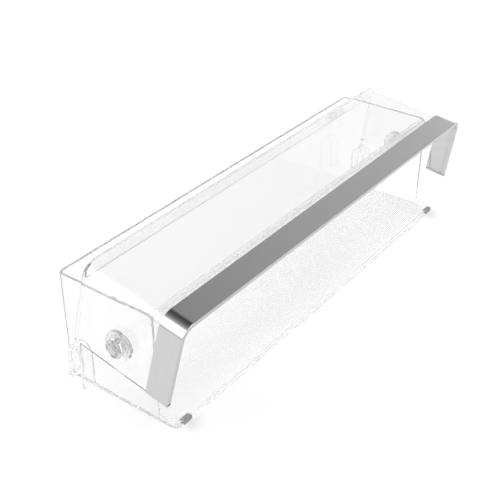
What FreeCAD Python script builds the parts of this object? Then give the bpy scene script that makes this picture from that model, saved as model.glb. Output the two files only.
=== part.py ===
import FreeCAD, Part
import math
import os

from FreeCAD import Vector

# Door shelf of a fridge: an open-fronted clear tray that hangs on two lugs of the door, with a
# clear hood that pivots on two snap-in buttons and carries a folded steel handle strip.
# Millimetres. X runs along the shelf, -Y is the front, Z is up. The origin is the middle of
# the tray's underside, and the hood is drawn as the photograph shows it, tilted forward.

# Tray
tray_length = 460.0
tray_height = 109.0
panel_depth = 107.0
apron_depth = 21.0
wall = 2.4
floor_thickness = 2.4
back_corner_radius = 5.0
panel_corner_radius = 5.5

# Low rim round the apron, in front of the end panels
rim_height = 6.0
rim_wall = 2.0
apron_corner_radius = 8.0

# Fine ribs along the floor
rib_pitch = 2.0
rib_height = 0.2
rib_width = 1.1
smooth_band = 4.5

# Cross rail between the end panels, at the top of the open front
rail_depth = 5.4
rail_height = 10.0
rail_wall = 2.0

# Hanging hooks: open arches on the end panels that drop over the door's lugs
hook_width = 17.0
hook_reach = 13.0
hook_wall = 2.5
hook_below_top = 60.0
hook_bottom = 5.0
hook_from_back = 16.0
flat_on_arch = 0.01
foot_length = 2.5
foot_height = 4.0
foot_level = 11.3

# Hood, measured from its pivot when its roof is level. Its flaps flare outwards to the front
# and to the bottom, so that it lifts off its mould and closes over the end panels.
hood_overhang = 6.0
hood_flare = 0.036
hood_lean = 0.1146
hood_wall = 2.2
hood_forward = 64.6
hood_front_lean = 1.5
hood_back = 43.7
hood_back_lean = 2.1
hood_up = 60.2
hood_down = 18.2
hood_bend_radius = 14.0
hood_corner_radius = 3.0
rear_wall_height = 15.0
edge_rib_width = 5.5
hood_tilt = 8.6

# Pivot, from the front edge and the top edge of the end panels
pivot_from_front = 35.7
pivot_below_top = 42.0

# Pivot button: a neck and a notched flange on the end panel, a journal that the hood's flap
# turns on, and a split shank with a barb, pushed through the panel from outside
shank_radius = 6.0
seat_clearance = 0.05
neck_radius = 10.0
neck_length = 1.2
flange_radius = 14.0
flange_thickness = 3.5
notch_count = 4
notch_radius = 3.2
notch_depth = 1.3
notch_turn = 20.0
collar_radius = 11.0
collar_thickness = 0.7
journal_radius = 8.7
journal_reach = 11.5
running_clearance = 0.08
slot_width = 2.0
slot_depth = 1.8
slot_length = 12.2
slot_turn = 47.5
barb_radius = 7.0
barb_length = 3.0
barb_end_radius = 4.8
shank_bore_radius = 3.8
split_width = 1.6

# Handle strip folded round the hood's front edge
strip_thickness = 1.0
strip_width = 24.3
strip_lip = 4.5
strip_fold_radius = 1.6
strip_above_flap_end = 0.5

# Grey stop pads clipped over the ends of the front rim
pad_length = 10.0
pad_wall = 1.5
pad_from_end = 12.0
pad_clearance = 0.05
pad_rise = 1.2
pad_edge_radius = 0.9

# Places worked out from the sizes above
half_length = tray_length / 2
floor_depth = panel_depth + apron_depth
back_y = floor_depth / 2
apron_y = -floor_depth / 2
front_y = back_y - panel_depth
pivot_y = front_y + pivot_from_front
pivot_height = tray_height - pivot_below_top
hook_top = tray_height - hook_below_top
hood_forward_at_bottom = hood_forward - hood_front_lean
hood_back_at_bottom = hood_back + hood_back_lean
flap_reach = half_length + 2 * journal_reach
touching = 1e-6
on_skin = 1e-3


def plan(a, b):
    """A point of a plan outline: a is X and b is Y."""
    return Vector(a, b, 0)


def side(a, b):
    """A point of a side outline: a is Y and b is Z."""
    return Vector(0, a, b)


def front(a, b):
    """A point of a front outline: a is X and b is Z."""
    return Vector(a, 0, b)


def outline(corners, place):
    """A closed face from corners (a, b, radius), each rounded by a tangent arc of that radius."""
    edges = []
    stretches = []
    count = len(corners)
    for i in range(count):
        before = Vector(*corners[i - 1][:2], 0)
        here = Vector(*corners[i][:2], 0)
        after = Vector(*corners[(i + 1) % count][:2], 0)
        radius = corners[i][2]
        into = (before - here).normalize()
        out = (after - here).normalize()
        half = into.getAngle(out) / 2
        if radius <= 0:
            stretches.append((here, here, here))
            continue
        reach = radius / math.tan(half)
        centre = here + (into + out).normalize() * (radius / math.sin(half))
        middle = centre + (here - centre).normalize() * radius
        stretches.append((here + into * reach, middle, here + out * reach))
    for i in range(count):
        start, middle, end = stretches[i]
        if (end - start).Length > touching:
            edges.append(Part.Arc(place(start.x, start.y), place(middle.x, middle.y),
                                  place(end.x, end.y)).toShape())
        following = stretches[(i + 1) % count][0]
        if (following - end).Length > touching:
            edges.append(Part.makeLine(place(end.x, end.y), place(following.x, following.y)))
    return Part.Face(Part.Wire(edges))


def prism(corners, place, start, reach):
    """An outline moved to its start and extruded by its reach."""
    face = outline(corners, place)
    face.translate(start)
    return face.extrude(reach)


def block(x_low, x_high, y_low, y_high, z_low, z_high):
    """A box between two corners."""
    return Part.makeBox(x_high - x_low, y_high - y_low, z_high - z_low, Vector(x_low, y_low, z_low))


def rod(radius, x_low, x_high):
    """A cylinder along the pivot axis."""
    return Part.makeCylinder(radius, x_high - x_low, Vector(x_low, pivot_y, pivot_height),
                             Vector(1, 0, 0))


def mirrored(shape):
    """The same piece at the other end of the shelf."""
    return shape.mirror(Vector(0, 0, 0), Vector(1, 0, 0))


def both_ends(shape):
    """A left-hand feature and its twin at the right."""
    return [shape, mirrored(shape)]


def walls():
    """Back wall and end panels: one U in plan, with the panels' upper front corners rounded."""
    inner = half_length - wall
    inner_radius = back_corner_radius - wall
    u_shape = [
        (-half_length, front_y, 0), (-half_length, back_y, back_corner_radius),
        (half_length, back_y, back_corner_radius), (half_length, front_y, 0),
        (inner, front_y, 0), (inner, back_y - wall, inner_radius),
        (-inner, back_y - wall, inner_radius), (-inner, front_y, 0)]
    upright = prism(u_shape, plan, Vector(0, 0, 0), Vector(0, 0, tray_height))
    profile = [(front_y, 0, 0), (front_y, tray_height, panel_corner_radius),
               (back_y, tray_height, 0), (back_y, 0, 0)]
    return upright.common(prism(profile, side, Vector(-half_length, 0, 0), Vector(tray_length, 0, 0)))


def apron_corners(inset):
    """Plan of the floor, inset from its outer edge."""
    x, radius = half_length - inset, apron_corner_radius - inset
    back, back_radius = back_y - inset, back_corner_radius - inset
    return [(-x, back, back_radius), (x, back, back_radius),
            (x, apron_y + inset, radius), (-x, apron_y + inset, radius)]


def rim_ring(outer_inset, inner_inset):
    """Wall between two insets of the floor's plan, as high as the rim."""
    up = Vector(0, 0, rim_height)
    return prism(apron_corners(outer_inset), plan, Vector(0, 0, 0), up).cut(
        prism(apron_corners(inner_inset), plan, Vector(0, 0, 0), up))


def rim():
    """Low wall round the apron, from one end panel's front edge to the other's."""
    return rim_ring(0, rim_wall).common(
        block(-half_length, half_length, apron_y, front_y + wall, 0, rim_height))


def floor():
    """Floor plate whose upper face is drawn as one ribbed profile, from front to back."""
    plate = prism(apron_corners(0), plan, Vector(0, 0, 0), Vector(0, 0, floor_thickness))
    ribs_from = apron_y + rim_wall + smooth_band
    rib_count = int((back_y - wall - ribs_from) / rib_pitch)
    crest = floor_thickness + rib_height
    sunk = floor_thickness / 2
    profile = [(ribs_from, sunk, 0)]
    for i in range(rib_count):
        y = ribs_from + i * rib_pitch
        profile += [(y, floor_thickness, 0), (y + rib_width / 2, crest, 0),
                    (y + rib_width, floor_thickness, 0)]
    profile.append((ribs_from + (rib_count - 1) * rib_pitch + rib_width, sunk, 0))
    inside = half_length - wall
    ribs = prism(profile, side, Vector(-inside, 0, 0), Vector(2 * inside, 0, 0))
    return plate.fuse(ribs.common(prism(apron_corners(rim_wall), plan, Vector(0, 0, 0),
                                        Vector(0, 0, tray_height))))


def rail():
    """Cross rail of angle section that ties the end panels at the top of the open front."""
    top = tray_height
    section = [(front_y, top, 0), (front_y + rail_depth, top, 0),
               (front_y + rail_depth, top - rail_wall, 0), (front_y + rail_wall, top - rail_wall, 0),
               (front_y + rail_wall, top - rail_height, 0), (front_y, top - rail_height, 0)]
    inside = half_length - wall
    return prism(section, side, Vector(-inside, 0, 0), Vector(2 * inside, 0, 0))


def hook_corners(inset):
    """Side outline of the arch, inset from its outer face."""
    low = back_y - hook_from_back - hook_width + inset
    high = back_y - hook_from_back - inset
    radius = hook_width / 2 - inset - flat_on_arch
    return [(low, hook_bottom, 0), (low, hook_top - inset, radius),
            (high, hook_top - inset, radius), (high, hook_bottom, 0)]


def hook():
    """Open arch on the left end panel. Its rear leg is the shorter and ends in a small foot."""
    outside = -half_length - hook_reach
    start, reach = Vector(outside, 0, 0), Vector(hook_reach + wall / 2, 0, 0)
    arch = prism(hook_corners(0), side, start, reach).cut(
        prism(hook_corners(hook_wall), side, start, reach))
    leg_y = back_y - hook_from_back
    shortened = block(outside, -half_length, leg_y - hook_wall, leg_y, hook_bottom, foot_level)
    foot = block(outside, -half_length - wall / 2, leg_y - hook_wall, leg_y + foot_length,
                 foot_level, foot_level + foot_height)
    return arch.cut(shortened).fuse(foot)


def make_tray():
    """Tray in one moulding."""
    shape = walls().fuse([floor(), rim(), rail()] + both_ends(hook()))
    bore = rod(shank_radius + seat_clearance, -half_length, half_length)
    return shape.cut(bore).removeSplitter()


def half_width(y, up):
    """Half of the level hood's width at a place: it grows to the front and downwards."""
    at_front = half_length + hood_overhang
    return at_front - hood_flare * (y + hood_forward) + hood_lean * (hood_up - up)


def arch_wire(y, offset, bottom):
    """Outline of the hood across the shelf at one depth, grown by offset from its outer face."""
    top, radius = hood_up + offset, hood_bend_radius + offset
    grown = offset * math.hypot(1, hood_lean)
    at_top, at_bottom = half_width(y, top) + grown, half_width(y, bottom) + grown
    corners = [(-at_bottom, bottom, 0), (-at_top, top, radius),
               (at_top, top, radius), (at_bottom, bottom, 0)]
    face = outline(corners, front)
    face.translate(Vector(0, y, 0))
    return face.OuterWire


def arch(offset, bottom):
    """Solid arch along the level hood, past both its ends: two outlines joined by ruled faces."""
    low, high = -hood_forward - strip_width, hood_back_at_bottom + hood_wall
    return Part.makeLoft([arch_wire(low, offset, bottom), arch_wire(high, offset, bottom)], True, True)


def slice_across(near_top, near_bottom, far_top, far_bottom, bottom, radius=0):
    """Slab across the hood between two leaning edges, from its bottom to above its roof."""
    top = hood_up
    above = 2 * strip_thickness
    near_lean = (near_top - near_bottom) / (top + hood_down) * above
    far_lean = (far_top - far_bottom) / (top + hood_down) * above
    profile = [(near_bottom, bottom, 0), (near_top + near_lean, top + above, 0),
               (far_top + far_lean, top + above, 0), (far_bottom, bottom, radius)]
    width = 2 * flap_reach
    return prism(profile, side, Vector(-width / 2, 0, 0), Vector(width, 0, 0))


def tilted(shape):
    """Moves a piece drawn level round the pivot to its place on the tray."""
    turned = shape.copy()
    turned.rotate(Vector(0, 0, 0), Vector(1, 0, 0), hood_tilt)
    turned.translate(Vector(0, pivot_y, pivot_height))
    return turned


def make_hood():
    """Hood: roof, two flared flaps outside the end panels, a rear wall and a rib on each flap."""
    solid = arch(0, -hood_down)
    back_thickness = slice_across(hood_back - hood_wall, hood_back_at_bottom - hood_wall,
                                  hood_back, hood_back_at_bottom, -hood_down)
    rear_wall = solid.common(back_thickness).common(
        block(-half_length, half_length, 0, hood_back_at_bottom, hood_up - rear_wall_height, hood_up))
    bottom_half = half_width(hood_back, -hood_down)
    rear_half = half_width(hood_back, hood_up - rear_wall_height)
    wedge = [(-bottom_half - hood_wall, -hood_down, 0), (-bottom_half + edge_rib_width, -hood_down, 0),
             (-rear_half + hood_wall, hood_up - rear_wall_height, 0),
             (-rear_half - hood_wall, hood_up - rear_wall_height, 0)]
    edge_rib = prism(wedge, front, Vector(0, 0, 0), Vector(0, hood_back_at_bottom, 0)).common(
        back_thickness).common(solid)
    shell = solid.cut(arch(-hood_wall, -2 * hood_down)).fuse([rear_wall] + both_ends(edge_rib))
    trim = slice_across(-hood_forward, -hood_forward_at_bottom, hood_back, hood_back_at_bottom,
                        -hood_down, hood_corner_radius)
    hole = Part.makeCylinder(journal_radius + running_clearance, 2 * flap_reach,
                             Vector(-flap_reach, 0, 0), Vector(1, 0, 0))
    return tilted(shell.common(trim).cut(hole).removeSplitter())


def fold_edges(strip, outside, bottom):
    """Edges along the outside of the level strip's fold: round its front face, on its outer skin."""
    front_face = min(strip.Faces, key=lambda face: face.CenterOfMass.y)
    found = []
    for edge in front_face.Edges:
        first, last = edge.ParameterRange
        middle = edge.valueAt((first + last) / 2)
        off_skin = outside.Shells[0].distToShape(Part.Vertex(middle))[0]
        if off_skin < on_skin and middle.z > bottom + on_skin:
            found.append(edge)
    return found


def make_strip():
    """Handle strip: a band over the hood's front edge, with a lip folded round that edge."""
    bottom = -hood_down + strip_above_flap_end
    lip_top, lip_bottom = -hood_forward - strip_thickness, -hood_forward_at_bottom - strip_thickness
    outside = arch(strip_thickness, bottom)
    band = outside.cut(arch(0, -2 * hood_down)).common(
        slice_across(lip_top, lip_bottom, lip_top + strip_width, lip_bottom + strip_width, bottom))
    lip = outside.cut(arch(strip_thickness - strip_lip, -2 * hood_down)).common(
        slice_across(lip_top, lip_bottom, -hood_forward, -hood_forward_at_bottom, bottom))
    strip = band.fuse(lip).removeSplitter()
    return tilted(strip.makeFillet(strip_fold_radius, fold_edges(strip, outside, bottom)))


def make_button():
    """Left pivot button: neck, notched flange, collar, slotted journal and a split, barbed shank."""
    seat = -half_length - seat_clearance
    neck = rod(neck_radius, seat - neck_length, seat)
    flange_face = seat - neck_length - flange_thickness
    flange = rod(flange_radius, flange_face, seat - neck_length)
    for i in range(notch_count):
        angle = math.radians(notch_turn + 360 * i / notch_count)
        away = flange_radius + notch_radius - notch_depth
        notch = Part.makeCylinder(
            notch_radius, flange_thickness,
            Vector(flange_face, pivot_y + away * math.cos(angle),
                   pivot_height + away * math.sin(angle)), Vector(1, 0, 0))
        flange = flange.cut(notch)
    collar = rod(collar_radius, flange_face - collar_thickness, flange_face)
    end_face = -half_length - journal_reach
    journal = rod(journal_radius, end_face, flange_face)
    slot = block(end_face, end_face + slot_depth, pivot_y - slot_length / 2, pivot_y + slot_length / 2,
                 pivot_height - slot_width / 2, pivot_height + slot_width / 2)
    slot.rotate(Vector(0, pivot_y, pivot_height), Vector(1, 0, 0), slot_turn)
    catch = -half_length + wall + seat_clearance
    shank = rod(shank_radius, seat, catch)
    barb = Part.makeCone(barb_radius, barb_end_radius, barb_length,
                         Vector(catch, pivot_y, pivot_height), Vector(1, 0, 0))
    end = catch + barb_length
    hollow = rod(shank_bore_radius, seat, end)
    split = block(-half_length + wall / 2, end, pivot_y - split_width / 2, pivot_y + split_width / 2,
                  pivot_height - barb_radius, pivot_height + barb_radius)
    head = flange.fuse([neck, collar, journal]).cut(slot)
    return head.fuse(shank.fuse(barb).cut(hollow).cut(split)).removeSplitter()


def make_pad():
    """Left stop pad: a rounded clip with a slot that sits over the front rim."""
    middle = -half_length + pad_from_end
    x_low, x_high = middle - pad_length / 2, middle + pad_length / 2
    y_low, y_high = apron_y - pad_wall, apron_y + rim_wall + pad_wall
    top = rim_height + pad_rise
    bottom = floor_thickness + rib_height + pad_clearance
    body = block(x_low, x_high, y_low, y_high, bottom, top)
    upper = [edge for edge in body.Edges if edge.BoundBox.ZMin > top - pad_clearance]
    body = body.makeFillet(pad_edge_radius, upper)
    slot = rim_ring(-pad_clearance, rim_wall + pad_clearance)
    return body.cut(slot)


def save(name, shape):
    """Writes one sub-part."""
    shape.exportStep(os.path.join("parts", name + ".step"))
    print(name, len(shape.Solids), "solid", round(shape.Volume), "mm3", "valid", shape.isValid())


os.makedirs("parts", exist_ok=True)
button = make_button()
pad = make_pad()
save("tray", make_tray())
save("hood", make_hood())
save("handle_strip", make_strip())
save("pivot_button_left", button)
save("pivot_button_right", mirrored(button))
save("stop_pad_left", pad)
save("stop_pad_right", mirrored(pad))
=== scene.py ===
import math

import bpy
import numpy as np
from mathutils import Matrix, Vector


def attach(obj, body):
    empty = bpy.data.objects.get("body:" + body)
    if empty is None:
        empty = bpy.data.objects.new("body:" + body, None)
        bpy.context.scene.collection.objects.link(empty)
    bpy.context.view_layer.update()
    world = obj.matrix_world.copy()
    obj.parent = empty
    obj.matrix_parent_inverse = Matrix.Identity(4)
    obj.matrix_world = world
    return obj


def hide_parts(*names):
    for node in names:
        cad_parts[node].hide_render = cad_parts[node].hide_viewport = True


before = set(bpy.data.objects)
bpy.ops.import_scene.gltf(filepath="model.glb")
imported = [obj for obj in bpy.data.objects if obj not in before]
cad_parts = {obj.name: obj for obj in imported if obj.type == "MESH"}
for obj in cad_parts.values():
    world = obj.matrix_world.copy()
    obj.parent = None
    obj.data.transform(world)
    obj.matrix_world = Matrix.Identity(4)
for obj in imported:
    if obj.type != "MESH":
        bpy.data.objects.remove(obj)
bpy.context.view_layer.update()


# Camera. It stands in front of the shelf's left end and looks down on it through a short
# telephoto lens, so that the long tray runs away to the upper right.

camera_place = Vector((-0.65305, -0.44898, 0.54789))
azimuth, elevation, roll = (math.radians(angle) for angle in (-53.667, 32.817, 0.32))
back = Vector((math.sin(azimuth) * math.cos(elevation),
               -math.cos(azimuth) * math.cos(elevation),
               math.sin(elevation)))
right = Vector((math.cos(azimuth), math.sin(azimuth), 0))
up = back.cross(right)
across = right * math.cos(roll) + up * math.sin(roll)
upward = up * math.cos(roll) - right * math.sin(roll)
camera = bpy.data.objects.new("camera", bpy.data.cameras.new("camera"))
camera.data.lens = 66.63
camera.data.clip_start, camera.data.clip_end = 0.01, 40
turn = Matrix((across, upward, back)).transposed().to_4x4()
camera.matrix_world = Matrix.Translation(camera_place) @ turn
bpy.context.scene.collection.objects.link(camera)
bpy.context.scene.camera = camera


# Studio. A white sweep on the ground in a tent of bright cloth, with a window at the left, a dark
# slot overhead, a dark card at the right of the front and the dim room behind the camera. The
# camera itself sees the tent's wall as plain white.

class Wire:
    """A shader socket that does arithmetic: an expression on wires adds its Math nodes."""

    def __init__(self, tree, socket=None):
        self.tree, self.socket = tree, socket

    def node(self, kind, settings, sockets, out=0):
        """Any node: its settings first, then the values or links of its sockets, which go by
        name, or by number where the node has several of one name. A colour ramp's settings are
        its stops, as pairs of place and grey level."""
        made = self.tree.nodes.new("ShaderNode" + kind)
        for name, value in settings.items():
            if name == "stops":
                while len(made.color_ramp.elements) < len(value):
                    made.color_ramp.elements.new(0.5)
                for element, (place, level) in zip(made.color_ramp.elements, value):
                    element.position, element.color = place, (level, level, level, 1)
            else:
                setattr(made, name, value)
        for name, value in sockets.items():
            if isinstance(value, Wire):
                self.tree.links.new(value.socket, made.inputs[name])
            else:
                made.inputs[name].default_value = value
        return Wire(self.tree, made.outputs[out] if len(made.outputs) else None)

    def maths(self, operation, *values):
        """One Math node on these values."""
        return self.node("Math", {"operation": operation}, dict(enumerate(values)))

    def __add__(self, other):
        return self.maths("ADD", self, other)

    def __sub__(self, other):
        return self.maths("SUBTRACT", self, other)

    def __rsub__(self, other):
        return self.maths("SUBTRACT", other, self)

    def __mul__(self, other):
        return self.maths("MULTIPLY", self, other)

    __radd__, __rmul__ = __add__, __mul__

    def facing(self, direction):
        """Cosine of the angle between this unit vector and a direction of any length."""
        unit = tuple(Vector(direction).normalized())
        return self.node("VectorMath", {"operation": "DOT_PRODUCT"}, {0: self, 1: unit}, "Value")

    def rise(self, low, high):
        """Smooth rise from 0 at low to 1 at high."""
        return self.node("MapRange", {"interpolation_type": "SMOOTHSTEP"},
                         {"Value": self, "From Min": low, "From Max": high})

    def part(self, name):
        """One component of a vector."""
        return self.node("SeparateXYZ", {}, {0: self}, name)

    def noise(self, scale, detail, roughness):
        """Cloudy noise from 0 to 1 at a place, with about `scale` clouds to the metre."""
        return self.node("TexNoise", {}, {"Vector": self, "Scale": scale, "Detail": detail,
                                          "Roughness": roughness})


def mesh_from(name, points, faces, smooth=False):
    """A mesh object with these points (metres, in the frame's axes) and these faces."""
    corners = [list(map(int, face)) for face in faces]
    mesh = bpy.data.meshes.new(name)
    mesh.from_pydata(np.asarray(points, float).tolist(), [], corners)
    mesh.update()
    mesh.shade_smooth() if smooth else mesh.shade_flat()
    piece = bpy.data.objects.new(name, mesh)
    bpy.context.scene.collection.objects.link(piece)
    return piece


reach, below = 9.0, -0.0008
ground_corners = [(x * reach, y * reach, below) for x, y in ((-1, -1), (1, -1), (1, 1), (-1, 1))]
ground = mesh_from("ground", ground_corners, [(0, 1, 2, 3)])
paper = bpy.data.materials.new("white_paper")
paper.use_nodes = True
paper_skin = paper.node_tree.nodes["Principled BSDF"]
paper_skin.inputs["Base Color"].default_value = (0.94, 0.94, 0.94, 1)
paper_skin.inputs["Roughness"].default_value = 0.9
paper_skin.inputs["Specular IOR Level"].default_value = 0.0
ground.data.materials.append(paper)

tent = bpy.data.worlds.new("tent")
tent.use_nodes = True
tent.node_tree.nodes.clear()
sky = Wire(tent.node_tree)
toward = sky.node("TexCoord", {}, {}, "Generated")
east, north, height = toward.part("X"), toward.part("Y"), toward.part("Z")

# The slot runs from east to west, and this is how much cloth light comes through it on the way.
slot = north.rise(-0.30, -0.10) * (1 - north.rise(0.50, 0.75)) * height.rise(0.0, 0.06)
slot_levels = [(0.20, 1.0), (0.265, 0.50), (0.325, 0.28), (0.39, 0.16), (0.50, 0.075),
               (0.61, 0.036), (0.69, 0.040), (0.74, 0.10), (0.785, 0.170), (0.919, 0.31),
               (0.975, 1.0)]
through_slot = sky.node("ValToRGB", {"stops": slot_levels}, {"Fac": east * 0.5 + 0.5})
dimmed = 1 - slot * (1 - through_slot)

# The other dark places, each with the share of the light that it takes. The skirting is the band
# round the foot of the tent, taller in the west.
room_dark, card_dark, skirting_dark, taller = 0.6, 0.8, 0.66, 0.19
room_side = 1 - toward.facing(back).rise(0.55, 0.80) * room_dark
card = 1 - toward.facing((0.75, -0.5, 0.42)).rise(0.86, 0.95) * card_dark
foot = height - (0 - east).rise(0.5, 0.8) * taller
skirting = 1 - (1 - foot.rise(0.08, 0.18)) * skirting_dark

cloth_light, window_light, front_light = 2.13, 1.5, 0.3
cloth = dimmed * room_side * card * skirting * cloth_light
window = toward.facing((-0.7665, 0.3763, 0.5222)).rise(0.90, 0.95) * window_light
front_lamp = toward.facing((0.0, -0.6, 0.8)).rise(0.75, 0.92) * front_light
seen = sky.node("LightPath", {}, {}, "Is Camera Ray")
strength = (cloth + window + front_lamp) * (1 - seen) + seen
lamp = sky.node("Background", {}, {"Color": (1, 1, 1, 1), "Strength": strength})
sky.node("OutputWorld", {}, {"Surface": lamp})

# Clear plastic needs many bounces: with few, its edges turn black.
scene = bpy.context.scene
scene.world = tent
scene.view_settings.view_transform = "Standard"
scene.cycles.use_denoising = True
scene.cycles.max_bounces = 64
scene.cycles.transmission_bounces = 64
scene.cycles.glossy_bounces = 64
scene.cycles.transparent_max_bounces = 32
scene.cycles.caustics_reflective = False
scene.cycles.caustics_refractive = False


# Tray. One injection moulding in clear polystyrene: ribbed floor with a low rim, back wall, end
# panels, cross rail and hooks. Its edges are the rounded ones of a polished mould.

def new_look(name):
    """A material with an empty tree, a wire to start from, and the place on the piece."""
    look = bpy.data.materials.new(name)
    look.use_nodes = True
    look.node_tree.nodes.clear()
    start = Wire(look.node_tree)
    return look, start, start.node("TexCoord", {}, {}, "Object")


def clear_moulding(name, absorbing, tint=0.987, index=1.50, ripple=0.000012, haze=0.015,
                   rubbed=0.0):
    """Clear moulded plastic: edges rounded by the mould, a ripple centimetres long, fine scuffs,
    and more haze by `rubbed` where bottles and hands rub the tray: on its floor and on the rail
    over its open front. Shadow rays and light scattered by the ground pass straight through."""
    edge_radius, scuff_depth, polish = 0.0002, 0.0000008, 0.008
    look, start, place = new_look(name)
    flow = place.noise(22.0, 2.0, 0.4)
    scuffs = place.noise(700.0, 3.0, 0.6)
    patches = place.noise(9.0, 3.0, 0.55)
    rounded = start.node("Bevel", {"samples": 4}, {"Radius": edge_radius})
    bump = start.node("Bump", {}, {"Height": flow * ripple + scuffs * scuff_depth,
                                   "Distance": 1.0, "Strength": 1.0, "Normal": rounded})
    rough = patches.rise(0.35, 0.75) * haze + polish
    if rubbed:
        over_floor, under_rail, behind_rail = (0.0030, 0.0045), (0.0975, 0.0985), (-0.0378, -0.0370)
        floor = 1 - place.part("Z").rise(*over_floor)
        rail = place.part("Z").rise(*under_rail) * (1 - place.part("Y").rise(*behind_rail))
        rough = rough + (floor + rail) * rubbed
    glass = start.node("BsdfPrincipled", {"distribution": "MULTI_GGX"}, {
        "Base Color": (tint, tint, tint, 1), "Roughness": rough, "IOR": index,
        "Transmission Weight": 0.98, "Normal": bump})
    veil = start.node("BsdfTransparent", {}, {"Color": (0.996, 0.996, 0.996, 1)})
    shadow_ray = start.node("LightPath", {}, {}, "Is Shadow Ray")
    scattered_ray = start.node("LightPath", {}, {}, "Is Diffuse Ray")
    lit = start.node("MixShader", {}, {0: shadow_ray, 1: glass, 2: veil})
    surface = start.node("MixShader", {}, {0: scattered_ray, 1: lit, 2: veil})
    depth = start.node("VolumeAbsorption", {}, {"Color": (0.5, 0.5, 0.5, 1),
                                                "Density": absorbing})
    start.node("OutputMaterial", {}, {"Surface": surface, "Volume": depth})
    return look


def wear(node, look):
    """Gives a CAD node its finish."""
    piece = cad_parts[node]
    piece.data.materials.clear()
    piece.data.materials.append(look)


wear("tray", clear_moulding("tray_plastic", absorbing=6.0, rubbed=0.22))


# Stop pads. Small grey rubber clips pressed over both ends of the front rim, where the handle
# strip lands when the hood is down. Moulded matt, a little dusty on top.

def rubber_look(name, low, high):
    """Matt rubber: a fine grain in its surface and a patchy bloom between two greys."""
    look, start, place = new_look(name)
    bloom = place.noise(260.0, 4.0, 0.6)
    grain = place.noise(2600.0, 2.0, 0.6)
    colour = start.node("Mix", {"data_type": "RGBA"},
                        {"Factor": bloom.rise(0.3, 0.7), 6: low, 7: high}, 2)
    bump = start.node("Bump", {}, {"Height": grain, "Distance": 0.00012, "Strength": 1.0})
    skin = start.node("BsdfPrincipled", {}, {
        "Base Color": colour, "Roughness": bloom * 0.2 + 0.5, "IOR": 1.5, "Normal": bump})
    start.node("OutputMaterial", {}, {"Surface": skin})
    return look


pad_rubber = rubber_look("grey_rubber", (0.23, 0.23, 0.232, 1), (0.32, 0.32, 0.322, 1))
wear("stop_pad_left", pad_rubber)
wear("stop_pad_right", pad_rubber)


# Hood. A second moulding in the same clear plastic, which swings over the tray: a roof, two
# flared side flaps and a short rear wall.

wear("hood", clear_moulding("hood_plastic", absorbing=4.5))


# Handle strip. Stainless steel sheet, brushed along its length, cut as a band with a narrow lip
# and folded round the hood's front edge, then glued to it. Sizes are in millimetres.

sheet, lip_depth, band_width, fold_radius = 1.0, 4.5, 24.3, 0.55
cut_edge, inner_edge, glue, inset = 0.3, 0.1, 0.02, 0.18
arch_half, arch_flare, arch_lean, arch_bend = 236.0, 0.036, 0.1146, 14.0
arch_front, arch_front_lean, arch_up, arch_down, flap_trim = 64.6, 1.5, 60.2, 18.2, 0.5
hinge_y, hinge_z, hinge_tilt = -7.3, 67.0, math.radians(8.6)
arc_points, flap_points, bend_points, roof_points = 9, 24, 40, 60


def rounded_loop(corners, steps):
    """Closed loop in which each corner (a, b, radius) becomes an arc tangent to both its sides. A
    point of an arc is a mix of the arms from the centre to its two tangent points, weighted by
    the sines of the angles left: (sin((1 - t) w) first + sin(t w) last) / sin(w)."""
    corners = np.asarray(corners, float)
    here, radius = corners[:, :2], corners[:, 2:]
    into, out = np.roll(here, 1, 0) - here, np.roll(here, -1, 0) - here
    into /= np.linalg.norm(into, axis=1, keepdims=True)
    out /= np.linalg.norm(out, axis=1, keepdims=True)
    half = np.arccos(np.clip((into * out).sum(1, keepdims=True), -1, 1)) / 2
    middle = (into + out) / np.linalg.norm(into + out, axis=1, keepdims=True)
    centre = here + middle * radius / np.sin(half)
    first = here + into * radius / np.tan(half) - centre
    last = here + out * radius / np.tan(half) - centre
    spread = (np.pi - 2 * half)[:, None]
    share = np.linspace(0, 1, steps)[None, :, None]
    arcs = (np.sin((1 - share) * spread) * first[:, None]
            + np.sin(share * spread) * last[:, None]) / np.sin(spread)
    return (centre[:, None] + arcs).reshape(-1, 2)


def arch_place(run, setback, offset):
    """A place on the hood's right half, level and with the hinge at the origin: run goes 0 to 1 up
    the flap, 1 to 2 round the bend as an arc tangent to flap and roof, and 2 to 3 to the middle
    of the roof. Setback goes back from the front plane, which leans forward as it goes up, and
    offset goes out from the skin. The flap leans out downwards and flares to the front:
    x = half - flare (y + front) + lean (top - z)."""
    slant = math.hypot(1, arch_lean)
    bottom = -arch_down + flap_trim
    radius = arch_bend + offset
    half = math.acos(-arch_lean / slant) / 2
    tangent = radius / np.tan(half)
    top = arch_up + offset
    flap_top = top - tangent / slant
    turn = math.atan(arch_lean) + (np.pi / 2 - math.atan(arch_lean)) * np.clip(run - 1, 0, 1)
    z = np.where(run < 1, bottom + (flap_top - bottom) * run,
                 np.where(run < 2, top - radius + radius * np.sin(turn), top))
    front = -arch_front + arch_front_lean - sheet
    y = front + setback - arch_front_lean / (arch_up - bottom) * (z - bottom)
    corner = (arch_half - arch_flare * (y + arch_front) + arch_lean * (arch_up - top)
              + offset * slant)
    x = np.where(run < 1, corner + arch_lean * (top - z),
                 np.where(run < 2, corner - tangent + radius * np.cos(turn),
                          (corner - tangent) * (3 - run)))
    return x, y, z


def distance_along(line):
    """The distance walked from a line's first point to each of its points."""
    return np.concatenate([[0], np.cumsum(np.linalg.norm(np.diff(line, axis=0), axis=1))])


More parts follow.
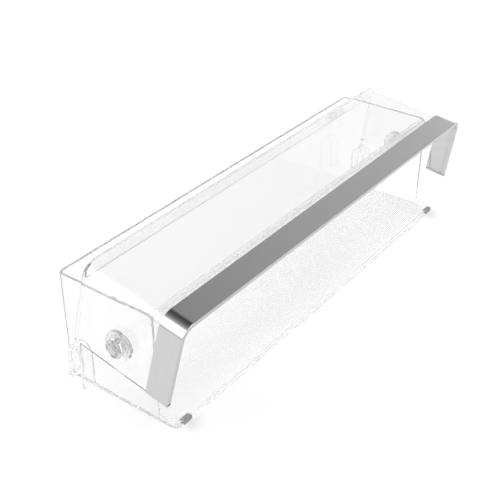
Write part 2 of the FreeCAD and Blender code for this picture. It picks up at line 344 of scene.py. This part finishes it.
def folded_strip():
    """Carries the sheet's section round the arch, from the left flap's end to the right one's, and
    tilts it forward on the hinge: (y, z) turned by the tilt, plus the hinge. Its UV map is the
    sheet laid flat in metres: the distance along the band, and round the section."""
    lip_end = sheet - lip_depth
    section = rounded_loop([
        (band_width, glue, cut_edge), (band_width, sheet, cut_edge), (inset, sheet, fold_radius),
        (inset, lip_end, cut_edge), (sheet - glue, lip_end, cut_edge),
        (sheet - glue, glue, inner_edge)], arc_points)
    half_run = np.concatenate([np.linspace(0, 1, flap_points)[:-1],
                               np.linspace(1, 2, bend_points)[:-1],
                               np.linspace(2, 3, roof_points)])
    run = np.concatenate([half_run, half_run[-2::-1]])
    side = np.concatenate([-np.ones(len(half_run)), np.ones(len(half_run) - 1)])
    x, y, z = arch_place(run[:, None], section[None, :, 0], section[None, :, 1])
    x = x * side[:, None]
    tilted_y = y * math.cos(hinge_tilt) - z * math.sin(hinge_tilt) + hinge_y
    tilted_z = y * math.sin(hinge_tilt) + z * math.cos(hinge_tilt) + hinge_z
    points = np.stack([x, tilted_y, tilted_z], -1) * 0.001
    columns, rows = points.shape[:2]
    i, j = np.meshgrid(np.arange(columns - 1), np.arange(rows), indexing="ij")
    k = (j + 1) % rows
    quads = np.stack([i * rows + j, i * rows + k, (i + 1) * rows + k, (i + 1) * rows + j], -1)
    caps = [np.arange(rows)[::-1], (columns - 1) * rows + np.arange(rows)]
    piece = mesh_from("folded_strip", points.reshape(-1, 3),
                      list(quads.reshape(-1, 4)) + caps, smooth=True)
    along = distance_along(points[:, 0])
    around = distance_along(points[0])
    corner = np.empty(len(piece.data.loops), dtype=np.int32)
    piece.data.loops.foreach_get("vertex_index", corner)
    flat = np.stack([along[corner // rows], around[corner % rows]], -1).astype(np.float32)
    piece.data.uv_layers.new(name="brushing").data.foreach_set("uv", flat.ravel())
    even = piece.modifiers.new("even_faces", "WEIGHTED_NORMAL")
    even.keep_sharp = False
    even.weight = 80
    return piece


def painted_lip_shade(flat):
    """Painted shade: 1 on the lip's front face, 0 elsewhere, by the distance round the section."""
    lip_start, lip_stop = (0.0249, 0.0253), (0.0294, 0.0298)
    return flat.part("Y").rise(*lip_start) * (1 - flat.part("Y").rise(*lip_stop))


def brushed_look(name, light, dark):
    """Brushed steel: streaks two hundred times longer than wide, which follow the band round its
    bends, and painted shade that makes the lip's front face darker than the band."""
    streaks_along, streaks_across = 12.0, 2400.0
    look, start, place = new_look(name)
    flat = start.node("UVMap", {"uv_map": "brushing"}, {})
    stretched = start.node("Mapping", {}, {"Vector": flat,
                                           "Scale": (streaks_along, streaks_across, 1.0)})
    streaks = stretched.noise(1.0, 4.0, 0.7)
    clouds = place.noise(14.0, 3.0, 0.5)
    bump = start.node("Bump", {}, {"Height": streaks, "Distance": 0.000012, "Strength": 1.0})
    # Painted shade darkens the lip's front face; the streaks are the steel's own tone.
    shade = streaks.rise(0.3, 0.7) * 0.4 + painted_lip_shade(flat) * 0.6
    colour = start.node("Mix", {"data_type": "RGBA"}, {"Factor": shade, 6: light, 7: dark}, 2)
    rough = streaks * 0.06 + clouds * 0.04 + 0.1
    skin = start.node("BsdfPrincipled", {}, {
        "Base Color": colour, "Metallic": 1.0, "Roughness": rough, "Normal": bump})
    start.node("OutputMaterial", {}, {"Surface": skin})
    return look


strip = folded_strip()
# The darker colour serves both the streaks and the painted shade on the lip.
strip.data.materials.append(
    brushed_look("brushed_steel", (0.625, 0.615, 0.62, 1), (0.5125, 0.5043, 0.5084, 1)))
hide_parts("handle_strip")
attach(strip, "lid")


# Pivot buttons. Snap-in buttons in clear plastic, pushed from outside through the end panels: a
# notched flange, a journal with a coin slot that the hood's flap turns on, and a split shank.

button_plastic = clear_moulding("button_plastic", absorbing=45.0, tint=0.92, index=1.59,
                                ripple=0.00001, haze=0.02)
wear("pivot_button_left", button_plastic)
wear("pivot_button_right", button_plastic)
